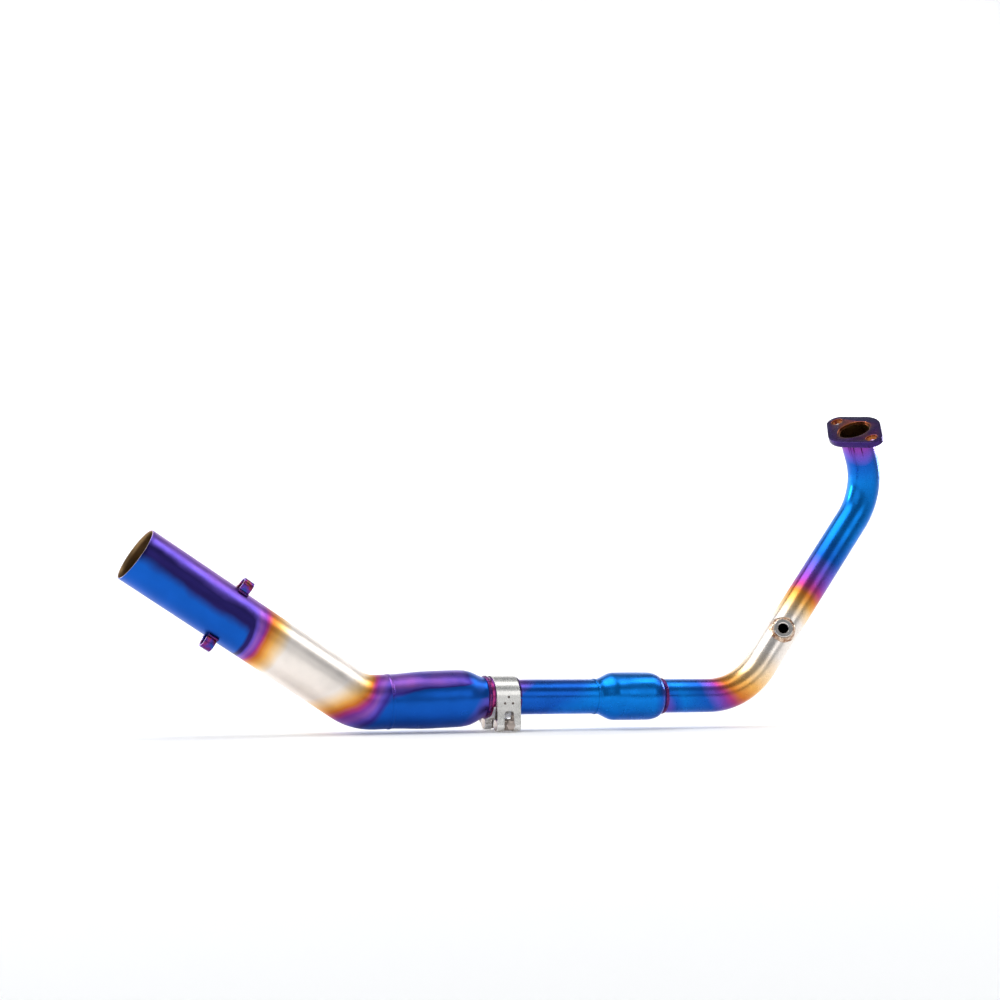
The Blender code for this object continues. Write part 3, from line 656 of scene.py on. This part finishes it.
# ---------------------------------------------------------------------------
# Chamber. A stainless shell swaged from the collar's size up to 54 mm and down again to the elbow; blue
# below and violet above, going to magenta, orange and gold where the elbow starts. The violet top and blue
# underside are painted reflection colour by height; the heat tint along it is blue.
chamber_tints = [(0.608, purple), (0.616, violet), (0.632, royal), (0.718, royal), (0.724, dusk),
                 (0.729, violet), (0.734, plum), (0.739, purple), (0.744, magenta), (0.750, orange),
                 (0.757, gold), (0.765, straw), (0.776, silver)]
chamber_steel = tinted_steel("chamber_tinted_steel", chamber_tints, waver=0.005, roughness=0.32, blotch=0.25)


def chamber_heat_and_reflection(run, lift):
    """Painted reflection colour by height: its top stays violet from end to end, and its underside blue."""
    if lift < 0:
        return run + 0.7 * lift
    reached = min(1, max(0, (run - 0.6196) / 0.004)) * min(1, lift / 0.014)
    return run + reached * (0.084 - 0.93 * max(0, run - 0.645))


profile = [(0.0006, 0.0194), (0.0020, 0.0196), (0.0040, 0.0202), (0.0080, 0.0221), (0.0122, 0.0241),
           (0.0165, 0.0257), (0.0208, 0.0266), (0.0270, 0.0272)]
profile += [(0.0270 + 0.0295 * step / 8, 0.0272) for step in range(1, 9)]
profile += [(0.0565 + 0.0400 * step / 12, 0.0272 - 0.00085 * (1 - math.cos(math.pi * step / 12)))
            for step in range(1, 12)]
profile += [(0.0963, 0.0255)]
body = drawn_tube([(slip_axis + back * chamber_run, chamber_run, radius, radius - pipe_wall)
                   for back, radius in profile], first_run=0.6196, tint=chamber_heat_and_reflection)
shown("chamber_shell_tube", body, "rear_section", ["chamber_shell"], chamber_steel)
elbow_ring = ripple_bead(slip_axis + 0.0965 * chamber_run, chamber_run, 0.0256, 0.0030, 0.0003, 60,
                         0.714, chamber_heat_and_reflection)
shown("elbow_bead", elbow_ring, "rear_section", ["elbow_weld"], chamber_steel)


# ---------------------------------------------------------------------------
# Tail tube. The 51 mm elbow and tube that the silencer slides on, one piece, cut square at its end; bare
# polished steel in its middle, then gold, magenta and violet into blue. Past that the colour goes only by
# height, a painted reflection colour: violet along its top, a dark indigo band across its middle and blue
# below.
tail_radius = 0.0255
rear_corner = slip_axis + 0.1242 * chamber_run
tail_run = Vector((-0.839436, -0.149515, 0.522499)).normalized()
elbow_radius, corner_to_mouth = 0.048, 0.251
mouth = rear_corner + corner_to_mouth * tail_run
# The two indigo stops make the dark band across the tail's middle, a painted dark reflection.
tail_tints = [(0.718, royal), (0.724, dusk), (0.729, violet), (0.734, plum), (0.739, purple), (0.744, magenta),
              (0.750, orange), (0.757, gold), (0.765, straw), (0.776, silver), (0.840, silver), (0.847, straw),
              (0.853, gold), (0.859, orange), (0.864, magenta), (0.869, purple), (0.877, plum),
              (0.885, violet), (0.891, indigo), (0.898, indigo), (0.905, royal), (0.930, royal)]


def tail_heat_and_reflection(run, lift):
    """Askew round the elbow, square across where the bare steel ends. Past that it goes by height only, a
    painted reflection colour: violet on top, dark indigo across the middle and blue below.
    """
    if run < 0.83:
        return run + 0.7 * min(1, (0.83 - run) / 0.04) * lift
    spread = min(1, max(0, (run - 0.860) / 0.016))
    return min(run + 1.1 * max(0, run - 0.862), 0.896 + 0.02 * (run - 0.88)) - spread * lift


start = slip_axis + 0.0967 * chamber_run
arc = bend(start, rear_corner, mouth, elbow_radius)
route = straight(start, arc[0][0]) + arc + straight(arc[-1][0], mouth - 0.0003 * tail_run)[1:]
stations = [(point, tangent, tail_radius, tail_radius - pipe_wall) for point, tangent in route]
stations += [(mouth - 0.0003 * tail_run, tail_run, tail_radius, tail_radius - pipe_wall),
             (mouth, tail_run, tail_radius - 0.0002, tail_radius - pipe_wall + 0.0002)]
tail = drawn_tube(stations, first_run=0.7157, tint=tail_heat_and_reflection)
shown("tail_tube_pipe", tail, "rear_section", ["tail_tube"],
      tinted_steel("tail_tinted_steel", tail_tints, waver=0.003, roughness=0.36, blotch=0.2,
                   bore_colour=(0.30, 0.19, 0.09)))


# ---------------------------------------------------------------------------
# Spring hooks. Each is a 2 mm strap bent over into a loop for a silencer spring, and held by a bead along
# either foot; the heat left them violet with red and blue patches.
hook_length, hook_half, hook_height, hook_strap = 0.010, 0.006, 0.0115, 0.0021
hook_from_mouth, hook_bead = 0.096, 0.0012


def hook_steel():
    """Violet steel with red and blue heat patches."""
    made, shader = metal("hook_tinted_steel", 0.24)
    where = polished(made, shader, 0.26, 0.06, 150, 0.1)[0]
    cloud = linked(made, "ShaderNodeTexNoise", {"Vector": where, "Scale": 130, "Detail": 2})
    scale = linked(made, "ShaderNodeValToRGB", {"Fac": cloud.outputs["Fac"]})
    stops = scale.color_ramp.elements
    stops[0].position, stops[0].color = 0.30, (0.02, 0.06, 0.30, 1)
    stops[1].position, stops[1].color = 0.72, (0.12, 0.06, 0.03, 1)
    for place, colour in ((0.44, (0.08, 0.04, 0.30)), (0.54, (0.16, 0.03, 0.22)), (0.62, (0.24, 0.03, 0.07))):
        stops.new(place).color = (*colour, 1)
    made.node_tree.links.new(scale.outputs["Color"], shader.inputs["Base Color"])
    return made


hook_finish = hook_steel()
for name, turn in (("upper", 21), ("lower", 174)):
    foot = mouth - hook_from_mouth * tail_run
    outward = (Vector((0, 0, 1)) - tail_run.z * tail_run).normalized()
    outward.rotate(Matrix.Rotation(-math.radians(turn), 3, tail_run))
    place = frame_at(foot, tail_run, outward)
    arch = tail_radius + hook_height - hook_half
    middle_line = hook_half - hook_strap / 2
    strap = bmesh.new()
    leg = strap.verts.new((tail_radius - 0.0005, -middle_line, -hook_length / 2))
    knee = strap.verts.new((arch, -middle_line, -hook_length / 2))
    strap.edges.new((leg, knee))
    bmesh.ops.spin(strap, geom=[knee], cent=(arch, 0, -hook_length / 2), axis=(0, 0, 1), angle=math.pi,
                   steps=20, use_merge=False)
    strap.verts.ensure_lookup_table()
    far = max(strap.verts, key=lambda vert: vert.co.y)
    strap.edges.new((far, strap.verts.new((tail_radius - 0.0005, middle_line, -hook_length / 2))))
    drawn = bmesh.ops.extrude_edge_only(strap, edges=strap.edges[:])["geom"]
    bmesh.ops.translate(strap, verts=[item for item in drawn if isinstance(item, bmesh.types.BMVert)],
                        vec=(0, 0, hook_length))
    bmesh.ops.recalc_face_normals(strap, faces=strap.faces)
    strap.transform(place)
    hook = shown(name + "_spring_hook_strap", strap, "rear_section",
                 [name + "_spring_hook"], hook_finish)
    wall = hook.modifiers.new("Strap", "SOLIDIFY")
    wall.thickness, wall.offset, wall.use_even_offset = hook_strap, 0, True
    edge = hook.modifiers.new("Broken edges", "BEVEL")
    edge.width, edge.segments, edge.limit_method = 0.0004, 2, "ANGLE"
    for side, word in ((-1, "inner"), (1, "outer")):
        away = side * (hook_half + 0.0013)
        lift = math.sqrt((tail_radius + hook_bead) ** 2 - away ** 2)
        bead = bmesh.new()
        bmesh.ops.create_circle(bead, cap_ends=False, segments=20, radius=hook_bead,
                                matrix=Matrix.Translation((lift, away, -hook_length / 2)))
        ring = bead.edges[:]
        for step in range(40):
            drawn = bmesh.ops.extrude_edge_only(bead, edges=ring)["geom"]
            verts = [item for item in drawn if isinstance(item, bmesh.types.BMVert)]
            found = set(verts)
            ring = [item for item in drawn if isinstance(item, bmesh.types.BMEdge) and found >= set(item.verts)]
            grow = 1 + 0.10 * math.cos((step + 1) * math.pi / 4) - 0.10 * math.cos(step * math.pi / 4)
            bmesh.ops.translate(bead, verts=verts, vec=(0, 0, hook_length / 40))
            bmesh.ops.scale(bead, verts=verts, vec=(grow, grow, 1), space=Matrix.Translation((-lift, -away, 0)))
        bmesh.ops.holes_fill(bead, edges=[item for item in bead.edges if item.is_boundary], sides=0)
        bmesh.ops.recalc_face_normals(bead, faces=bead.faces)
        bead.transform(place)
        shown(f"{name}_hook_{word}_bead", bead, "rear_section",
              [f"{name}_spring_hook_{word}_weld"], violet_bead)


# ---------------------------------------------------------------------------
# Band clamp. A bright stainless strap, its two ends folded back into loops and spot-welded, over a thin
# bridge plate that covers the gap; both loops are slotted to clear the screw.
clamp_middle = slip_axis + 0.0175 * level
band_width, strap_gauge, bridge_gauge, slack = 0.024, 0.0008, 0.0005, 0.00015
bridge_inside = collar_radius + slack
band_inside = bridge_inside + bridge_gauge + slack
barrel_radius, barrel_side, barrel_drop = 0.0056, 0.018, 0.0255


def bright_steel(name, roughness, brushed, low=(0.66, 0.64, 0.61), high=(0.92, 0.90, 0.87)):
    """Rolled or plated steel in two tones, which a small brushed scale draws out into lines."""
    made, shader = metal(name, roughness)
    where = polished(made, shader, roughness, 0.05, 200, 0.05)[0]
    lines = linked(made, "ShaderNodeMapping", {"Vector": where, "Scale": brushed})
    drawn = linked(made, "ShaderNodeTexNoise", {"Vector": lines.outputs["Vector"], "Scale": 60, "Detail": 3})
    tone = linked(made, "ShaderNodeValToRGB", {"Fac": drawn.outputs["Fac"]})
    tone.color_ramp.elements[0].position, tone.color_ramp.elements[0].color = 0.3, (*low, 1)
    tone.color_ramp.elements[1].position, tone.color_ramp.elements[1].color = 0.7, (*high, 1)
    made.node_tree.links.new(tone.outputs["Color"], shader.inputs["Base Color"])
    return made


def extruded_strap(points, width):
    """A strip through (y, z) points round the slip joint, still without its gauge."""
    strap = bmesh.new()
    verts = [strap.verts.new((-width / 2, y, z)) for y, z in points]
    edges = [strap.edges.new(pair) for pair in zip(verts, verts[1:])]
    drawn = bmesh.ops.extrude_edge_only(strap, edges=edges)["geom"]
    bmesh.ops.translate(strap, verts=[item for item in drawn if isinstance(item, bmesh.types.BMVert)],
                        vec=(width, 0, 0))
    strap.transform(Matrix.Translation(clamp_middle))
    return strap


def walled(piece, gauge):
    """Gives a strap its gauge for good, so that holes can be punched in it."""
    wall = piece.modifiers.new("Gauge", "SOLIDIFY")
    wall.thickness, wall.offset, wall.use_even_offset = gauge, 0, True
    bpy.context.view_layer.update()
    done = bpy.data.meshes.new_from_object(piece.evaluated_get(bpy.context.evaluated_depsgraph_get()))
    piece.modifiers.remove(wall)
    piece.data = done


ring = band_inside + strap_gauge / 2        # middle of the strap round the collar, then where it lies double
folded = ring + strap_gauge + slack
loop = barrel_radius + slack / 2 + strap_gauge / 2
aim = math.atan2(-barrel_drop, barrel_side)
reach = math.hypot(barrel_side, barrel_drop)
leave = aim + math.acos((ring + loop) / reach)
rejoin = aim + math.acos((folded - loop) / reach)
fold_gap = 0.0065                           # from the clamp's middle out to where a folded end stops
half = []


def arc_points(centre, radius, first, last, count):
    """Adds an arc's points to the strap's half outline."""
    for step in range(count + 1):
        angle = first + (last - first) * step / count
        half.append((centre[0] + radius * math.cos(angle), centre[1] + radius * math.sin(angle)))


arc_points((0, 0), folded, math.asin(fold_gap / folded), rejoin, 10)
arc_points((barrel_side, -barrel_drop), loop, rejoin, leave - math.pi, 40)
arc_points((0, 0), ring, leave, math.pi / 2, 48)
whole = half + [(-y, z) for y, z in reversed(half[:-1])]
strap_finish = bright_steel("bright_strap", 0.27, (0.05, 1, 1))
band = shown("clamp_band_strap", extruded_strap(whole, band_width), "clamp",
             ["clamp_band"], strap_finish)
walled(band, strap_gauge)
slot_width = 0.0096
slot_cut = bmesh.new()
bmesh.ops.create_cube(slot_cut, size=1, matrix=Matrix.Translation(clamp_middle + Vector((0, 0, -0.0325)))
                      @ Matrix.Diagonal((slot_width, 0.09, 0.04, 1)))
corners = [item for item in slot_cut.edges if abs(item.verts[0].co.y - item.verts[1].co.y) > 0.05]
bmesh.ops.bevel(slot_cut, geom=corners, offset=0.003, segments=5, profile=0.5, affect="EDGES", material=-1)
drilled(band, slot_cut)
softened = band.modifiers.new("Rolled edges", "BEVEL")
softened.width, softened.segments, softened.limit_method = 0.00018, 2, "ANGLE"
softened.angle_limit = math.radians(50)
band.data.shade_smooth()
band.data.set_sharp_from_angle(angle=math.radians(40))

bridge_points = []
for step in range(61):
    angle = -math.pi / 2 + math.radians(64) * (step / 30 - 1)
    bridge_points.append(((bridge_inside + bridge_gauge / 2) * math.cos(angle),
                          (bridge_inside + bridge_gauge / 2) * math.sin(angle)))
bridge = shown("clamp_bridge_plate", extruded_strap(bridge_points, band_width + 0.0032), "clamp",
               ["clamp_bridge"], strap_finish)
walled(bridge, bridge_gauge)

weld_marks = bmesh.new()
bpy.context.view_layer.update()
for side in (-1, 1):
    for across, height in ((0, 0.001), (-0.004, -0.005), (0.004, -0.005)):
        away = clamp_middle + Vector((across, 0.06 * side, height))
        spot, outward = band.ray_cast(away, Vector((0, -side, 0)))[1:3]
        flattened = frame_at(spot, outward, level) @ Matrix.Diagonal((1, 1, 0.22, 1))
        bmesh.ops.create_uvsphere(weld_marks, u_segments=20, v_segments=10, radius=0.0012, matrix=flattened)
shown("clamp_spot_welds", weld_marks, "clamp", [],
      turned_steel("spot_weld_steel", (0.13, 0.10, 0.09), 0.35))


# ---------------------------------------------------------------------------
# Clamp screw. Two turned barrels lie in the band's loops. The M5 screw passes the front one, with a
# washer under its head, and threads into the rear one.
screw_height = clamp_middle - Vector((0, 0, barrel_drop))
screw_clearance = 0.0027
inward = Vector((0, 1, 0))
screw_finish = bright_steel("dulled_zinc", 0.3, (1, 1, 1), (0.36, 0.29, 0.25), (0.60, 0.52, 0.47))
for name, side in (("front", -1), ("rear", 1)):
    barrel = bmesh.new()
    centre = screw_height + side * barrel_side * inward
    rod(barrel, centre - band_width / 2 * level, centre + band_width / 2 * level, barrel_radius, 48)
    rims = [item for item in barrel.edges if item.calc_face_angle() > math.radians(60)]
    bmesh.ops.bevel(barrel, geom=rims, offset=0.0006, segments=3, profile=0.5, affect="EDGES", material=-1)
    piece = shown(name + "_barrel_pin", barrel, "clamp", [name + "_barrel"], screw_finish)
    hole = bmesh.new()
    rod(hole, centre - 0.01 * inward, centre + 0.01 * inward, screw_clearance, 32, level)
    drilled(piece, hole)

seat = -barrel_side - barrel_radius - 0.0003
washer_rows = [(seat - 0.001, 0.0043), (seat - 0.0009, 0.0045), (seat - 0.0001, 0.0045), (seat, 0.0043)]
washer = drawn_tube([(screw_height + y * inward, inward, radius, screw_clearance) for y, radius in washer_rows],
                    across=level, sides=48)
shown("bolt_washer_ring", washer, "washer", ["bolt_washer"], screw_finish)

head_back = seat - 0.0013
head_front = head_back - 0.0035
screw = bmesh.new()
head_radius = 0.008 / math.sqrt(3)          # 8 mm across the flats
bmesh.ops.create_cone(
    screw, cap_ends=True, segments=6, radius1=head_radius, radius2=head_radius, depth=head_back - head_front,
    matrix=frame_at(screw_height + (head_front + head_back) / 2 * inward, inward, Vector((0, 0, 1))))
rims = [item for item in screw.edges if item.calc_face_angle() > math.radians(70)]
bmesh.ops.bevel(screw, geom=rims, offset=0.00035, segments=2, profile=0.5, affect="EDGES", material=-1)
shown("clamp_bolt_screw", screw, "bolt", ["clamp_bolt"], screw_finish, 35)
shank = bmesh.new()
core, crest, screw_pitch = 0.0022, 0.00248, 0.0008
thread_start, thread_end, screw_tip = -0.004, 0.0568, 0.0580
rows = [(head_back - 0.0002, crest), (thread_start, crest)]
place = thread_start
while place < thread_end:
    rows += [(place + share * screw_pitch, radius)
             for share, radius in ((0.3, core), (0.5, core), (0.8, crest), (1, crest))]
    place += screw_pitch
rows.append((screw_tip, 0.0019))
shank_ring = None
for y, radius in rows:
    circle = bmesh.ops.create_circle(shank, cap_ends=False, segments=28, radius=radius,
                                     matrix=frame_at(screw_height + y * inward, inward, level))["verts"]
    circle_edges = list({item for vert in circle for item in vert.link_edges})
    if shank_ring:
        bmesh.ops.bridge_loops(shank, edges=shank_ring + circle_edges)
    shank_ring = circle_edges
bmesh.ops.holes_fill(shank, edges=[item for item in shank.edges if item.is_boundary], sides=0)
bmesh.ops.recalc_face_normals(shank, faces=shank.faces)
shown("clamp_bolt_shank", shank, "bolt", [], screw_finish, 20)
